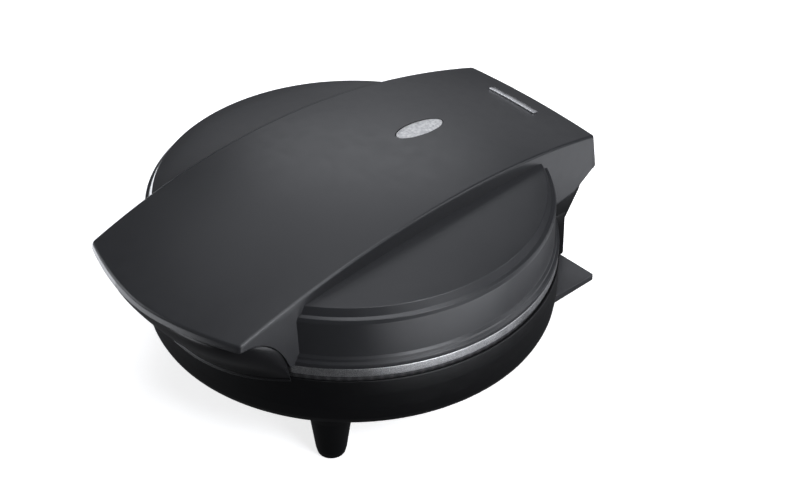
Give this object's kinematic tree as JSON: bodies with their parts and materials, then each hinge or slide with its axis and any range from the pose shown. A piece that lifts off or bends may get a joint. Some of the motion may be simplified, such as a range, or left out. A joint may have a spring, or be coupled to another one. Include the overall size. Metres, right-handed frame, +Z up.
{
  "type": "donut maker",
  "caption": "Tabletop electric donut maker with a round base, a hinged lid under an arched band and ring-shaped moulds in both plates.",
  "frame": {"origin": "on the floor under the middle of the object's plan, which is also the drum's axis", "axes": "+Z up; +Y from the handle towards the hinge; +X to the right of a person who faces the handle"},
  "size_m": [0.2012, 0.2514, 0.1089],
  "materials": {
    "lid_plastic": "satin charcoal moulding",
    "base_plastic": "satin black moulding",
    "gland_rubber": "matt black rubber",
    "coated_plate": "cast aluminium with a dark non-stick coating and a bare machined edge",
    "steel": "plain steel",
    "bright_sheet": "bright sheet metal",
    "ceramic": "unglazed off-white ceramic",
    "lead_sleeve": "woven glass-fibre sleeve",
    "lamp_lens": "frosted clear plastic with a faceted surface",
    "red_lamp": "clear red",
    "green_lamp": "clear green",
    "trim": "bright blank trim strip"
  },
  "bodies": {
    "base": {"base_shell": "base_plastic", "lower_handle": "base_plastic", "hinge_block": "base_plastic", "cord_gland": "gland_rubber", "hinge_pin_left": "steel", "hinge_pin_right": "steel", "cord_winder": "base_plastic", "winder_screw_1": "steel", "winder_screw_2": "steel", "foot_front_right": "base_plastic", "foot_front_left": "base_plastic", "foot_rear_left": "base_plastic", "foot_rear_right": "base_plastic", "lower_plate": "coated_plate", "lower_heater": "steel", "lower_reflector": "bright_sheet", "lower_spacer_1": "steel", "lower_spacer_2": "steel", "lower_spacer_3": "steel", "lower_screw_1": "steel", "lower_screw_2": "steel", "lower_screw_3": "steel", "thermostat": "bright_sheet", "lower_fuse": "ceramic", "terminal_block": "ceramic", "lead_left": "lead_sleeve", "lead_right": "lead_sleeve"},
    "lid": {"lid_shell": "lid_plastic", "lid_band": "lid_plastic", "handle_liner": "base_plastic", "lamp_lens": "lamp_lens", "lamp_holder": "base_plastic", "power_lamp": "red_lamp", "ready_lamp": "green_lamp", "trim_strip": "trim", "upper_plate": "coated_plate", "upper_heater": "steel", "upper_reflector": "bright_sheet", "upper_spacer_1": "steel", "upper_spacer_2": "steel", "upper_screw_1": "steel", "upper_screw_2": "steel", "band_screw_1": "steel", "band_screw_2": "steel", "band_screw_3": "steel", "band_screw_4": "steel", "upper_fuse": "ceramic"}
  },
  "joints": [
    {"name": "lid_hinge", "type": "hinge", "parent": "base", "child": "lid", "pos_m": [0, 0.11, 0.06], "axis": [-1, 0, 0], "range_deg": [0, 100]}
  ]
}
